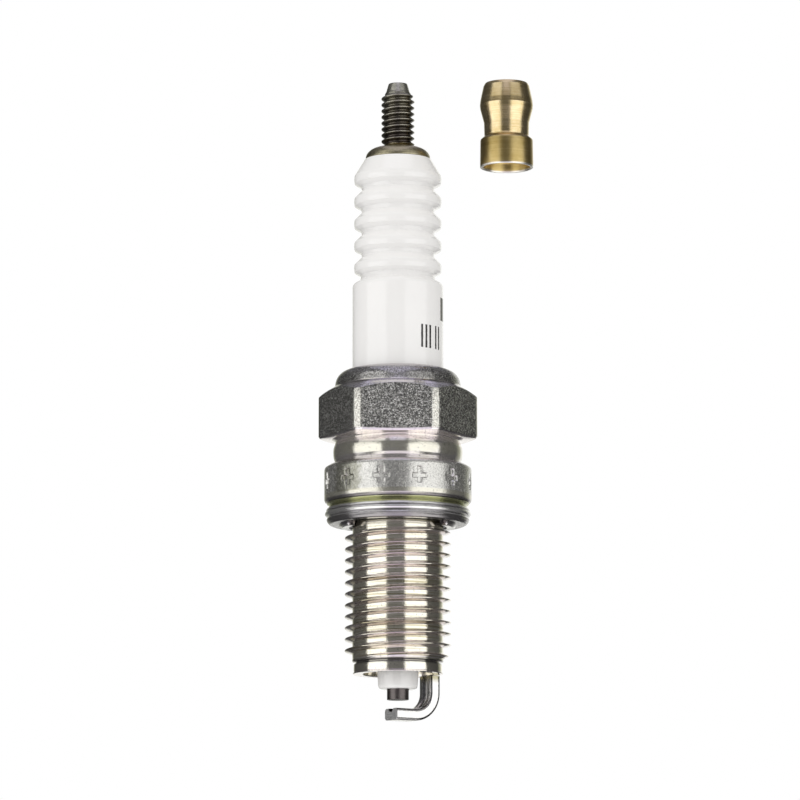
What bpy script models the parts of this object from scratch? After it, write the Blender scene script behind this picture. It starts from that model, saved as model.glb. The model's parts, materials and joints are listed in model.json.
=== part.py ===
"""A spark plug with an M12 x 1.25 thread, a 19 mm reach and a 16 mm hexagon.

The plug stands on its axis, +Z towards the terminal, with the origin where the axis
crosses the seat face of the steel shell. Its screw-on terminal nut lies beside the stud.
Every size below is in millimetres; meshes are made in metres.
"""

import math

import bmesh
import bpy
from mathutils import Matrix, Vector

MM = 0.001
FIT = 0.05            # gap between pieces that touch in the real plug
OVERRUN = 1.0         # how far a cutter passes the faces it cuts

# Driving dimensions of the shell
HEX_FLATS = 15.73     # across flats of the 16 mm hexagon
HEX_BOTTOM, HEX_TOP = 7.2, 13.0
HEX_CHAMFER_SLOPE, HEX_CORNER_BEVEL = 0.62, 0.43
HEX_UNDERCUT_RADIUS = 8.5            # where the small chamfer under the hexagon starts
COLLAR_RADIUS, COLLAR_TOP, COLLAR_ROUNDING, COLLAR_CHAMFER = 8.17, 4.3, 0.62, 0.15
NECK_RADIUS, NECK_WAIST, NECK_WAIST_HEIGHT = 7.2, 7.05, 6.6
LIP_RADIUS, LIP_TOP, LIP_MOUTH = 7.0, 14.95, 5.2
LIP_SPRING, LIP_FLAT = 13.25, 0.35   # height where the lip starts to curl; flat left at its mouth
LIP_WALL = 0.6                       # thickness of the rolled lip over the packing
REACH = 19.0
RELIEF_RADIUS = 5.05
THREAD_MAJOR, THREAD_PITCH = 11.75, 1.25
THREAD_FIRST, THREAD_HALF_TURNS = -17.675, 23
END_RING_RADIUS, END_RING_TOP = 4.88, -17.9
HEX_BORE, BODY_BORE, CHAMBER_BORE = 6.15, 4.0, 3.9
LEDGE_RADIUS, LEDGE_BOTTOM, LEDGE_TOP = 3.35, -9.5, -8.5
BORE_STEP = 1.0       # height at which the thread's bore opens to the hexagon's

# Driving dimensions of the packings
WIRE = 0.38
LOWER_RING, UPPER_RING = 10.45, 13.4   # heights of the two wire rings
PACKING_GAP = 0.12

# Driving dimensions of the insulator
CERAMIC_RADIUS = 5.065
CERAMIC_TOP, CERAMIC_TOP_RADIUS = 38.85, 3.74
RIB_RADIUS, RIB_VALLEY_RADIUS = 4.89, 4.05
RIB_PITCH, RIB_COUNT, TOP_RIB = 2.525, 5, 36.58
BARREL_RADIUS, BARREL_BOTTOM, BARREL_TOP = 5.95, 2.6, 9.2
BODY_RADIUS, BODY_BOTTOM = 3.8, -7.3
NOSE_RADIUS, NOSE_ROOT_RADIUS, NOSE_ROOT, NOSE_END = 2.22, 2.75, -9.7, -20.65
BORE_RADIUS, LOWER_BORE, BORE_SHELF = 2.0, 1.25, 1.9

# Driving dimensions of the conductors, from the terminal down to the electrodes
STUD_MAJOR, STUD_PITCH = 3.75, 0.7
STUD_THREAD_FIRST, STUD_TURNS = 40.62, 8
STUD_TIP, STUD_TIP_RADIUS, STUD_TAPER = 47.6, 1.1, 1.1
FLANGE_RADIUS, FLANGE_HEIGHT = 3.62, 1.1
SHANK_RADIUS, SHANK_END = 1.8, 16.8
KNURL_RADIUS, KNURL_ROOT, KNURL_COUNT, KNURL_PITCH = 1.68, 1.5, 3, 0.7
UPPER_SEAL_BOTTOM, UPPER_SEAL_TOP = 15.65, 19.6
RESISTOR_BOTTOM = 6.5
LOWER_SEAL_BOTTOM = 2.65
ELECTRODE_RADIUS, ELECTRODE_END = 1.2, -21.82
ELECTRODE_HEAD_RADIUS, ELECTRODE_HEAD_TOP = 1.75, 2.55
ELECTRODE_BOSS_RADIUS, ELECTRODE_BOSS_TOP = 1.05, 3.8
CORE_RADIUS, CORE_END = 0.7, -19.7

# Driving dimensions of the ground electrode
STRAP_WIDTH, STRAP_THICKNESS = 2.5, 1.3
STRAP_BEARING = math.radians(34)
STRAP_LEG_RADIUS, STRAP_PAST_AXIS = 4.2, 0.93
SPARK_GAP = 0.95
STRAP_BEND_RADIUS = 2.5
GROOVE_WIDTH, GROOVE_DEPTH = 0.95, 0.45

# Driving dimensions of the gasket and of the terminal nut
GASKET_BORE, GASKET_OUTER, GASKET_BOTTOM = 5.4, 8.02, -2.27
NUT_HEIGHT, NUT_BASE_RADIUS, NUT_HEAD_RADIUS, NUT_WAIST_RADIUS = 9.65, 2.98, 2.98, 2.49
NUT_MOUTH_RADIUS, NUT_BORE_RADIUS, NUT_BORE_DEPTH = 2.56, 2.0, 7.8
NUT_CENTRE = Vector((12.2, 0.0, 37.95))

SHELL_STEPS, CERAMIC_STEPS, SMALL_STEPS = 30, 28, 20


# ---------------------------------------------------------------- modelling helpers

def collection_named(name):
    collection = bpy.data.collections.new(name)
    bpy.context.scene.collection.children.link(collection)
    return collection


def arc(centre, radii, start, end, count):
    """Points of an elliptic arc in the profile plane, angles in degrees from +X."""
    points = []
    for i in range(count + 1):
        angle = math.radians(start + (end - start) * i / count)
        points.append((centre[0] + radii[0] * math.cos(angle),
                       centre[1] + radii[1] * math.sin(angle)))
    return points


def profile_object(name, points, closed, collection):
    """An open or closed outline of (radius, height) points in the XZ plane."""
    mesh = bpy.data.meshes.new(name)
    edges = [(i, i + 1) for i in range(len(points) - 1)]
    if closed:
        edges.append((len(points) - 1, 0))
    mesh.from_pydata([(x * MM, 0.0, z * MM) for x, z in points], edges, [])
    obj = bpy.data.objects.new(name, mesh)
    collection.objects.link(obj)
    return obj


def add_screw(obj, steps, angle=math.tau, rise=0.0, iterations=1):
    screw = obj.modifiers.new("turn", "SCREW")
    screw.axis = "Z"
    screw.angle = angle
    screw.screw_offset = rise * MM
    screw.iterations = iterations
    screw.steps = screw.render_steps = steps
    screw.use_merge_vertices = rise == 0.0
    screw.merge_threshold = 1e-6


def bake(obj):
    """Replaces an object's mesh by its evaluated one, welded, and drops the modifiers."""
    depsgraph = bpy.context.evaluated_depsgraph_get()
    mesh = bpy.data.meshes.new_from_object(obj.evaluated_get(depsgraph))
    obj.modifiers.clear()
    obj.data = mesh
    work = bmesh.new()
    work.from_mesh(mesh)
    bmesh.ops.remove_doubles(work, verts=work.verts, dist=1e-6)
    work.to_mesh(mesh)
    work.free()
    return obj


def turned(name, points, steps, collection, closed=False):
    """A solid of revolution. The profile runs down its outer side, top to bottom."""
    obj = profile_object(name, points, closed, collection)
    add_screw(obj, steps)
    return bake(obj)


def helical_ridge(name, crest, root, pitch, first, half_turns, steps):
    """One right-hand thread ridge, sunk a little into the core, with its two ends capped."""
    extra = 0.14        # part of the thread's depth that is sunk
    sunk = extra * (crest - root)
    half_base = 0.42 * pitch * (1 + extra)
    outline = [(root - sunk, first + half_base), (crest, first), (root - sunk, first - half_base)]
    obj = profile_object(name, outline, True, cutters)
    add_screw(obj, steps // 2, math.pi, pitch / 2, half_turns)
    bake(obj)
    work = bmesh.new()
    work.from_mesh(obj.data)
    bmesh.ops.holes_fill(work, edges=[e for e in work.edges if e.is_boundary])
    bmesh.ops.recalc_face_normals(work, faces=work.faces)
    work.to_mesh(obj.data)
    work.free()
    return hide_cutter(obj)


def hide_cutter(obj):
    obj.hide_render = True
    obj.display_type = "WIRE"
    return obj


def combine(obj, other, operation):
    """Leaves the Boolean of two solids in the first one's mesh."""
    cut = obj.modifiers.new(operation.lower(), "BOOLEAN")
    cut.operation = operation
    cut.solver = "EXACT"
    cut.object = other
    bpy.context.view_layer.update()
    return bake(obj)


def finish(obj, colour, metallic, roughness, sharp_degrees=35):
    """Smooth shading with crisp edges, and the piece's own material."""
    obj.data.shade_smooth()
    obj.data.set_sharp_from_angle(angle=math.radians(sharp_degrees))
    material = bpy.data.materials.new(obj.name)
    material.use_nodes = True
    shader = material.node_tree.nodes["Principled BSDF"]
    shader.inputs["Base Color"].default_value = (*colour, 1.0)
    shader.inputs["Metallic"].default_value = metallic
    shader.inputs["Roughness"].default_value = roughness
    obj.data.materials.clear()
    obj.data.materials.append(material)
    return obj


# ---------------------------------------------------------------- shell and its seals

def shell_outside():
    """The turned outside of the shell: rolled lip, neck, collar, thread core and end ring."""
    curl = (LIP_MOUTH + LIP_FLAT, LIP_SPRING)
    lip = arc(curl, (LIP_RADIUS - curl[0], LIP_TOP - LIP_SPRING), 90, 0, 5)
    shoulder = (COLLAR_RADIUS - 0.67, COLLAR_TOP - COLLAR_ROUNDING)
    chamfer = 0.1
    return [
        (0.0, LIP_TOP), *lip, (LIP_RADIUS, HEX_BOTTOM + 1.0), (NECK_RADIUS, HEX_BOTTOM + 0.5),
        (NECK_RADIUS, HEX_BOTTOM - 0.2), (NECK_WAIST, NECK_WAIST_HEIGHT),
        (NECK_RADIUS, COLLAR_TOP + 1.2), (NECK_RADIUS - 0.05, COLLAR_TOP + 0.5),
        (NECK_RADIUS + 0.1, COLLAR_TOP + 0.2),
        *arc(shoulder, (COLLAR_RADIUS - shoulder[0], COLLAR_ROUNDING), 75, 0, 3),
        (COLLAR_RADIUS, COLLAR_CHAMFER), (COLLAR_RADIUS - COLLAR_CHAMFER, 0.0),
        (RELIEF_RADIUS, 0.0), (RELIEF_RADIUS, END_RING_TOP + 0.15),
        (END_RING_RADIUS, END_RING_TOP), (END_RING_RADIUS, -REACH + chamfer),
        (END_RING_RADIUS - chamfer, -REACH), (0.0, -REACH),
    ]


def hexagon():
    """A hexagonal block with rounded corners, its ends turned to a chamfer."""
    corner = HEX_FLATS / 2 / math.cos(math.pi / 6)
    middle = (HEX_BOTTOM + HEX_TOP) / 2
    mesh = bpy.data.meshes.new("hexagon")
    work = bmesh.new()
    # The turn puts corners on the X axis, so that two flats face +Y and -Y.
    bmesh.ops.create_cone(work, cap_ends=True, segments=6, radius1=corner * MM,
                          radius2=corner * MM, depth=(HEX_TOP - HEX_BOTTOM + 2 * OVERRUN) * MM,
                          matrix=Matrix.Rotation(math.radians(30), 4, "Z"))
    upright = [e for e in work.edges if abs(e.verts[0].co.z - e.verts[1].co.z) > 1e-4]
    bmesh.ops.bevel(work, geom=upright, offset=HEX_CORNER_BEVEL * MM, segments=3,
                    profile=0.5, affect="EDGES")
    bmesh.ops.translate(work, verts=work.verts, vec=(0, 0, middle * MM))
    work.to_mesh(mesh)
    work.free()
    obj = bpy.data.objects.new("hexagon", mesh)
    cutters.objects.link(obj)
    narrow, wide = LIP_RADIUS - 0.3, corner + 0.3
    upper = HEX_TOP + 0.3 * HEX_CHAMFER_SLOPE
    blank = turned("hexagon_chamfer", [
        (0.0, upper), (narrow, upper), (wide, upper - (wide - narrow) * HEX_CHAMFER_SLOPE),
        (wide, HEX_BOTTOM + 0.6), (HEX_UNDERCUT_RADIUS, HEX_BOTTOM), (0.0, HEX_BOTTOM)],
        SHELL_STEPS, cutters)
    combine(obj, blank, "INTERSECT")
    hide_cutter(blank)
    return hide_cutter(obj)


def shell_bore():
    """The stepped hole through the shell, wide under the hexagon and narrow at the ledge."""
    vault = LIP_TOP - LIP_WALL
    return turned("shell_bore", [
        (0.0, LIP_TOP + OVERRUN), (LIP_MOUTH, LIP_TOP + OVERRUN), (LIP_MOUTH, vault + 0.25),
        *arc((LIP_MOUTH, vault - 0.75), (HEX_BORE - LIP_MOUTH, 0.75), 90, 0, 3),
        (HEX_BORE, BORE_STEP + 0.75), (BODY_BORE, BORE_STEP), (BODY_BORE, LEDGE_TOP + 0.6),
        (LEDGE_RADIUS, LEDGE_TOP), (LEDGE_RADIUS, LEDGE_BOTTOM), (CHAMBER_BORE, LEDGE_BOTTOM - 0.6),
        (CHAMBER_BORE, -REACH - OVERRUN), (0.0, -REACH - OVERRUN)], SHELL_STEPS, cutters)


def build_shell():
    shell = turned("shell", shell_outside(), SHELL_STEPS, parts)
    combine(shell, hexagon(), "UNION")
    thread = helical_ridge("shell_thread", THREAD_MAJOR / 2, RELIEF_RADIUS, THREAD_PITCH,
                           THREAD_FIRST, THREAD_HALF_TURNS, SHELL_STEPS)
    # Half a step keeps the ridge's ends clear of the core's own edges.
    thread.data.transform(Matrix.Rotation(math.pi + math.pi / SHELL_STEPS, 4, "Z"))
    combine(shell, thread, "UNION")
    combine(shell, hide_cutter(shell_bore()), "DIFFERENCE")
    finish(shell, (0.55, 0.54, 0.50), 1.0, 0.28)


def ring(name, height):
    """A packing ring of round wire between the insulator and the shell."""
    outline = arc(((CERAMIC_RADIUS + HEX_BORE) / 2, height), (WIRE, WIRE), 90, -210, 5)
    finish(turned(name, outline, SMALL_STEPS, parts, True), (0.35, 0.35, 0.36), 1.0, 0.45)


def build_packings():
    """The flat seat washer, and the talc between two wire rings that seals the shell's top."""
    low, outer = LEDGE_TOP + PACKING_GAP, LEDGE_RADIUS + 0.5
    washer = turned("seat_packing", [
        (outer, low + 0.75), (outer, low + 0.55), (LEDGE_RADIUS + 0.05, low + 0.1),
        (LEDGE_RADIUS - 0.2, low + 0.1), (LEDGE_RADIUS - 0.2, low + 0.3),
        (LEDGE_RADIUS - 0.08, low + 0.3)], SMALL_STEPS, parts, True)
    finish(washer, (0.45, 0.44, 0.42), 1.0, 0.4)
    ring("lower_packing_ring", LOWER_RING)
    ring("upper_packing_ring", UPPER_RING)
    low, high = LOWER_RING + WIRE + FIT, UPPER_RING - WIRE - FIT
    inner, outer = CERAMIC_RADIUS + PACKING_GAP, HEX_BORE - PACKING_GAP
    talc = turned("talc_filling", [(outer, high), (outer, low), (inner, low), (inner, high)],
                  SHELL_STEPS, parts, True)
    finish(talc, (0.82, 0.80, 0.76), 0.0, 0.9)


# ---------------------------------------------------------------- insulator

def rib_profile(crest):
    """One rib, top to bottom: sloping upper flank, broad crest, tight underside, valley."""
    return [(RIB_RADIUS - 0.07, crest + 0.5), (RIB_RADIUS, crest),
            (RIB_RADIUS - 0.07, crest - 0.36), (RIB_VALLEY_RADIUS, crest - 0.8),
            (RIB_VALLEY_RADIUS, crest + 1.3 - RIB_PITCH)]


def insulator_profile():
    """Outer side from the terminal end to the nose, then up the stepped bore."""
    points = [(CERAMIC_TOP_RADIUS, CERAMIC_TOP)]
    for i in range(RIB_COUNT):
        points += rib_profile(TOP_RIB - i * RIB_PITCH)
    shoulder = TOP_RIB - RIB_COUNT * RIB_PITCH
    points[-1] = (RIB_VALLEY_RADIUS + 0.17, shoulder + 1.15)
    points += arc((CERAMIC_RADIUS - 0.75, shoulder + 0.2), (0.75, 0.75), 60, 0, 3)
    points += [
        (CERAMIC_RADIUS, BARREL_TOP + 0.95), (BARREL_RADIUS, BARREL_TOP),
        (BARREL_RADIUS, BARREL_BOTTOM), (BODY_RADIUS, BARREL_BOTTOM - 1.15),
        (BODY_RADIUS, BODY_BOTTOM), (NOSE_ROOT_RADIUS + 0.15, BODY_BOTTOM - 1.05),
        (NOSE_ROOT_RADIUS, NOSE_ROOT), (NOSE_RADIUS + 0.03, -REACH),
        *arc((NOSE_RADIUS - 0.7, NOSE_END + 0.75), (0.7, 0.75), 0, -90, 3),
        (LOWER_BORE, NOSE_END), (LOWER_BORE, BORE_SHELF - 0.7), (BORE_RADIUS, BORE_SHELF),
        (BORE_RADIUS, CERAMIC_TOP)]
    return points


def build_insulator():
    insulator = turned("insulator", insulator_profile(), CERAMIC_STEPS, parts, True)
    finish(insulator, (0.90, 0.90, 0.88), 0.0, 0.15, 50)


# ---------------------------------------------------------------- conductors in the bore

def build_terminal_stud():
    """The M4 stud with its domed flange; the shank's knurled end is held by the upper seal."""
    base = CERAMIC_TOP + FIT
    root = STUD_MAJOR / 2 - 0.42
    knurl = []
    for i in range(KNURL_COUNT):
        z = SHANK_END + 2.4 - KNURL_PITCH * i
        knurl += [(KNURL_RADIUS, z), (KNURL_RADIUS, z - 0.35),
                  (KNURL_ROOT, z - 0.45), (KNURL_ROOT, z - 0.6)]
    stud = turned("terminal_stud", [
        (0.0, STUD_TIP), (STUD_TIP_RADIUS, STUD_TIP), (root, STUD_TIP - STUD_TAPER),
        (root, base + FLANGE_HEIGHT),
        *arc((root + 0.4, base + 0.1), (FLANGE_RADIUS - root - 0.4, FLANGE_HEIGHT - 0.1), 90, 0, 4),
        (FLANGE_RADIUS, base), (SHANK_RADIUS, base), (SHANK_RADIUS, SHANK_END + 3.1),
        (KNURL_ROOT, SHANK_END + 2.8), *knurl, (1.1, SHANK_END), (0.0, SHANK_END)], SMALL_STEPS, parts)
    thread = helical_ridge("stud_thread", STUD_MAJOR / 2, root, STUD_PITCH,
                           STUD_THREAD_FIRST, 2 * STUD_TURNS, SMALL_STEPS)
    thread.data.transform(Matrix.Rotation(math.pi / SMALL_STEPS, 4, "Z"))
    combine(stud, thread, "UNION")
    finish(stud, (0.30, 0.26, 0.18), 1.0, 0.35)


def build_glass_and_resistor():
    """The resistor between two seals of copper and glass, which fill the bore."""
    outer = BORE_RADIUS - FIT
    pocket = ELECTRODE_BOSS_RADIUS + FIT
    lower = turned("lower_glass_seal", [
        (0.0, RESISTOR_BOTTOM - FIT), (outer, RESISTOR_BOTTOM - FIT), (outer, LOWER_SEAL_BOTTOM),
        (pocket, LOWER_SEAL_BOTTOM), (pocket, ELECTRODE_BOSS_TOP + FIT),
        (0.0, ELECTRODE_BOSS_TOP + FIT)], SMALL_STEPS, parts)
    finish(lower, (0.35, 0.18, 0.12), 0.3, 0.5)
    resistor = turned("resistor", [
        (0.0, UPPER_SEAL_BOTTOM - FIT), (outer, UPPER_SEAL_BOTTOM - FIT),
        (outer, RESISTOR_BOTTOM), (0.0, RESISTOR_BOTTOM)], SMALL_STEPS, parts)
    finish(resistor, (0.10, 0.10, 0.11), 0.0, 0.8)
    pocket = KNURL_RADIUS + FIT
    upper = turned("upper_glass_seal", [
        (0.0, SHANK_END - FIT), (pocket, SHANK_END - FIT), (pocket, UPPER_SEAL_TOP),
        (outer, UPPER_SEAL_TOP), (outer, UPPER_SEAL_BOTTOM), (0.0, UPPER_SEAL_BOTTOM)],
        SMALL_STEPS, parts)
    finish(upper, (0.35, 0.18, 0.12), 0.3, 0.5)


def build_center_electrode():
    """A nickel cup round a copper core, hung by its head on the shelf of the bore."""
    bore = CORE_RADIUS + FIT
    cup = turned("center_electrode", [
        (0.0, CORE_END - FIT), (bore, CORE_END - FIT), (bore, ELECTRODE_BOSS_TOP),
        (ELECTRODE_BOSS_RADIUS, ELECTRODE_BOSS_TOP), (ELECTRODE_BOSS_RADIUS, ELECTRODE_HEAD_TOP),
        (ELECTRODE_HEAD_RADIUS, ELECTRODE_HEAD_TOP), (ELECTRODE_HEAD_RADIUS, BORE_SHELF + 0.15),
        (ELECTRODE_RADIUS, BORE_SHELF - 0.45), (ELECTRODE_RADIUS, ELECTRODE_END + 0.08),
        (ELECTRODE_RADIUS - 0.08, ELECTRODE_END), (0.0, ELECTRODE_END)], SMALL_STEPS, parts)
    finish(cup, (0.30, 0.27, 0.25), 1.0, 0.35)
    core = turned("center_electrode_core", [
        (0.0, ELECTRODE_BOSS_TOP - FIT), (CORE_RADIUS, ELECTRODE_BOSS_TOP - FIT),
        (CORE_RADIUS, CORE_END + 0.5), (CORE_RADIUS * 0.6, CORE_END), (0.0, CORE_END)],
        SMALL_STEPS, parts)
    finish(core, (0.72, 0.36, 0.22), 1.0, 0.3)


# ---------------------------------------------------------------- ground electrode

def strap_outline(near, far, top, end):
    """Side view of an L-shaped strip: radius from the axis, and height. near and far are the
    distances of its two faces inside and outside the strap's centre line."""
    low = ELECTRODE_END - SPARK_GAP - STRAP_THICKNESS / 2
    centre = (STRAP_LEG_RADIUS - STRAP_BEND_RADIUS, low + STRAP_BEND_RADIUS)
    outer, inner = STRAP_BEND_RADIUS + far, STRAP_BEND_RADIUS - near
    return [(STRAP_LEG_RADIUS + far, top), *arc(centre, (outer, outer), 0, -90, 7),
            (end, low - far), (end, low + near),
            *arc(centre, (inner, inner), -90, 0, 7), (STRAP_LEG_RADIUS - near, top)]


def strip(name, outline, width, collection):
    """A flat outline in the XZ plane, given a thickness along Y."""
    curve = bpy.data.curves.new(name, "CURVE")
    curve.dimensions = "2D"
    curve.fill_mode = "BOTH"
    curve.extrude = width / 2 * MM
    spline = curve.splines.new("POLY")
    spline.points.add(len(outline) - 1)
    for point, (x, z) in zip(spline.points, outline):
        point.co = (x * MM, z * MM, 0.0, 1.0)
    spline.use_cyclic_u = True
    flat = bpy.data.objects.new(name + "_outline", curve)
    cutters.objects.link(flat)
    bpy.context.view_layer.update()
    depsgraph = bpy.context.evaluated_depsgraph_get()
    mesh = bpy.data.meshes.new_from_object(flat.evaluated_get(depsgraph))
    bpy.data.objects.remove(flat)
    mesh.transform(Matrix.Rotation(math.pi / 2, 4, "X"))
    work = bmesh.new()
    work.from_mesh(mesh)
    bmesh.ops.remove_doubles(work, verts=work.verts, dist=1e-7)
    bmesh.ops.recalc_face_normals(work, faces=work.faces)
    work.to_mesh(mesh)
    work.free()
    obj = bpy.data.objects.new(name, mesh)
    collection.objects.link(obj)
    return obj


def build_ground_electrode():
    """The bent strap, grooved along its inner face, welded to the end of the shell."""
    half = STRAP_THICKNESS / 2
    strap = strip("ground_electrode",
                  strap_outline(half, half, -REACH - FIT, -STRAP_PAST_AXIS), STRAP_WIDTH, parts)
    bevel = strap.modifiers.new("rounded_edges", "BEVEL")
    bevel.width = 0.22 * MM
    bevel.segments = 2
    bevel.limit_method = "ANGLE"
    bevel.angle_limit = math.radians(60)
    bake(strap)
    groove = strip("groove", strap_outline(half + OVERRUN, GROOVE_DEPTH - half,
                                           -REACH + OVERRUN, -STRAP_PAST_AXIS - OVERRUN),
                   GROOVE_WIDTH, cutters)
    combine(strap, hide_cutter(groove), "DIFFERENCE")
    strap.rotation_euler.z = STRAP_BEARING
    finish(strap, (0.62, 0.61, 0.58), 1.0, 0.25)


# ---------------------------------------------------------------- gasket and terminal nut

def build_gasket():
    """The folded sealing ring, loose on the relief above the thread."""
    lip = 6.45
    gasket = turned("gasket", [
        (7.62, -FIT), (7.6, -0.35), (7.85, -0.75), (GASKET_OUTER, -1.15), (7.72, -1.45),
        (7.72, GASKET_BOTTOM + 0.2), (7.55, GASKET_BOTTOM), (lip, GASKET_BOTTOM), (lip, -2.7),
        (lip - 0.15, -2.8), (GASKET_BORE, -2.8), (GASKET_BORE, -FIT)], SHELL_STEPS, parts, True)
    finish(gasket, (0.60, 0.59, 0.55), 1.0, 0.3)


def build_terminal_nut():
    """The screw-on nut: a plain skirt, a waist for the lead's spring clip, and a tapered head."""
    top, head, waist = NUT_HEIGHT, NUT_HEAD_RADIUS, NUT_WAIST_RADIUS
    waist_low, skirt_top = 3.95, 3.2
    nut = turned("terminal_nut", [
        (0.0, top), (head - 0.6, top), (head - 0.4, top - 0.2), (head - 0.15, top - 1.4),
        (head, top - 2.3), (head - 0.04, top - 2.8), (waist + 0.03, top - 4.7),
        (waist, waist_low), (NUT_BASE_RADIUS - 0.03, skirt_top), (NUT_BASE_RADIUS, 0.0),
        (NUT_MOUTH_RADIUS, 0.0), (NUT_MOUTH_RADIUS, 1.0), (NUT_BORE_RADIUS, 1.6),
        (NUT_BORE_RADIUS, NUT_BORE_DEPTH), (0.0, NUT_BORE_DEPTH + 0.5)], SMALL_STEPS + 4, parts)
    nut.location = NUT_CENTRE * MM
    finish(nut, (0.70, 0.55, 0.25), 1.0, 0.25)


for old in list(bpy.data.objects):
    bpy.data.objects.remove(old, do_unlink=True)
parts = collection_named("spark_plug")
cutters = collection_named("cutters")
build_shell()
build_packings()
build_insulator()
build_terminal_stud()
build_glass_and_resistor()
build_center_electrode()
build_ground_electrode()
build_gasket()
build_terminal_nut()
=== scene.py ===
"""How the spark plug looks: fine meshes for its visible pieces, their finishes, light and camera.

Profiles are in millimetres, as radius and height on the plug's axis; meshes are in metres.
"""

import json
import math

import bmesh
import bpy
import numpy as np
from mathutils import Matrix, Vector


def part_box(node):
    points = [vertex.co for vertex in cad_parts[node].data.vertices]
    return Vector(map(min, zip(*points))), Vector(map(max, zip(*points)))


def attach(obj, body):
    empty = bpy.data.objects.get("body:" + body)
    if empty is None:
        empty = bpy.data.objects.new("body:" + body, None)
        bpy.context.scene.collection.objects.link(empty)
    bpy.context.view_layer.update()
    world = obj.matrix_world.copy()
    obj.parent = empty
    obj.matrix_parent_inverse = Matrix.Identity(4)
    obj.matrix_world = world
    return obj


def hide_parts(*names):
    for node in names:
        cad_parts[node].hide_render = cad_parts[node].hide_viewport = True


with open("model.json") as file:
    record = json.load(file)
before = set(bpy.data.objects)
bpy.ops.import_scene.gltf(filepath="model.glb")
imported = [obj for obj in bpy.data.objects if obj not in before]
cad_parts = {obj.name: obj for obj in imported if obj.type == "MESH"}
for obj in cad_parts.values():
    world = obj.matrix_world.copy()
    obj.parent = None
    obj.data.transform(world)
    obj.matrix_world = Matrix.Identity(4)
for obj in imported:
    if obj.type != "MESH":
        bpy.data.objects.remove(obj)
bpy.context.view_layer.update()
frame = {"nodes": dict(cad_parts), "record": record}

MM = 0.001
BODY = "plug_body"
SMALLEST_GAP, SMALLEST_EDGE = 2e-8, 1e-9      # metres: points closer than these are merged
SHARP_DEGREES = 38                            # edges that turn more than this stay sharp


def extent(node):
    """Lowest height, highest height and half width of a CAD node, in millimetres."""
    low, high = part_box(node)
    return low[2] / MM, high[2] / MM, (high[0] - low[0]) / 2 / MM


SHELL_END, _, _ = extent("shell")
NOSE_END, CERAMIC_TOP, BARREL_RADIUS = extent("insulator")
STUD_END, STUD_TIP, FLANGE_RADIUS = extent("terminal_stud")
ELECTRODE_END, ELECTRODE_TOP, _ = extent("center_electrode")
GASKET_LIP, GASKET_TOP, _ = extent("gasket")
NUT_BASE, NUT_TOP, NUT_RADIUS = extent("terminal_nut")
STRAP_BOTTOM, STRAP_TOP, _ = extent("ground_electrode")
FLAT = next(mount for mount in frame["record"]["mounts"] if mount["name"] == "hexagon_flat_front")
FLAT_APOTHEM = -FLAT["pos_m"][1] / MM


# ------------------------------------------------------------------ profiles and meshes

def rounded(points, segments=3):
    """A profile with its corners rounded. Each point is (radius, height, corner radius)."""
    result = []
    last = len(points) - 1
    for i, (x, z, size) in enumerate(points):
        here = Vector((x, z))
        if size <= 0 or i in (0, last):
            result.append((x, z))
            continue
        back = Vector(points[i - 1][:2]) - here
        ahead = Vector(points[i + 1][:2]) - here
        half_turn = back.angle(ahead, math.pi) / 2
        reach = min(size / math.tan(half_turn), back.length * 0.48, ahead.length * 0.48)
        start, end = here + back.normalized() * reach, here + ahead.normalized() * reach
        for k in range(segments + 1):
            t = k / segments
            point = start * (1 - t) ** 2 + here * 2 * t * (1 - t) + end * t * t
            result.append((point.x, point.y))
    return result


def ellipse(centre, radii, start, end, count):
    """Points along an ellipse, from one angle to another in degrees."""
    angles = [math.radians(start + (end - start) * i / count) for i in range(count + 1)]
    return [(centre[0] + radii[0] * math.cos(a), centre[1] + radii[1] * math.sin(a))
            for a in angles]


def sharp(points):
    """The same points as corners that rounded() leaves alone."""
    return [(x, z, 0) for x, z in points]


def surface(name, outline, angles, closed, centre=(0, 0, 0), sharp_degrees=SHARP_DEGREES):
    """A turned mesh. outline(angle) gives its profile; closed joins the profile's two ends.

    The last column stands at a full turn and meets the first, so a thread joins one pitch on."""
    angles = list(angles) + [angles[0] + math.tau]
    columns = np.array([outline(angle) for angle in angles], float)
    count, rows, _ = columns.shape
    turn = np.array(angles)[:, None]
    points = np.stack([columns[..., 0] * np.cos(turn), columns[..., 0] * np.sin(turn),
                       columns[..., 1]], -1) * MM + np.array(centre) * MM
    index = np.arange(count * rows).reshape(count, rows)
    if closed:
        index = np.concatenate([index, index[:, :1]], axis=1)
    faces = np.stack([index[:-1, :-1], index[:-1, 1:], index[1:, 1:], index[1:, :-1]], -1)
    return mesh_object(name, points.reshape(-1, 3), faces.reshape(-1, 4), sharp_degrees)


def mesh_object(name, points, faces, sharp_degrees):
    """An object of these faces, with its doubled points merged and its normals outwards."""
    mesh = bpy.data.meshes.new(name)
    mesh.from_pydata([tuple(p) for p in points], [], [tuple(int(i) for i in f) for f in faces])
    work = bmesh.new()
    work.from_mesh(mesh)
    bmesh.ops.remove_doubles(work, verts=work.verts, dist=SMALLEST_GAP)
    bmesh.ops.dissolve_degenerate(work, edges=work.edges, dist=SMALLEST_EDGE)
    bmesh.ops.recalc_face_normals(work, faces=work.faces)
    work.to_mesh(mesh)
    work.free()
    return shaded_object(name, mesh, sharp_degrees)


def shaded_object(name, mesh, sharp_degrees=SHARP_DEGREES):
    """Put a mesh in the scene, shaded smoothly but for its sharp edges."""
    mesh.shade_smooth()
    mesh.set_sharp_from_angle(angle=math.radians(sharp_degrees))
    obj = bpy.data.objects.new(name, mesh)
    bpy.context.scene.collection.objects.link(obj)
    return obj


def even_angles(count):
    return [math.tau * i / count for i in range(count)]


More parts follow.
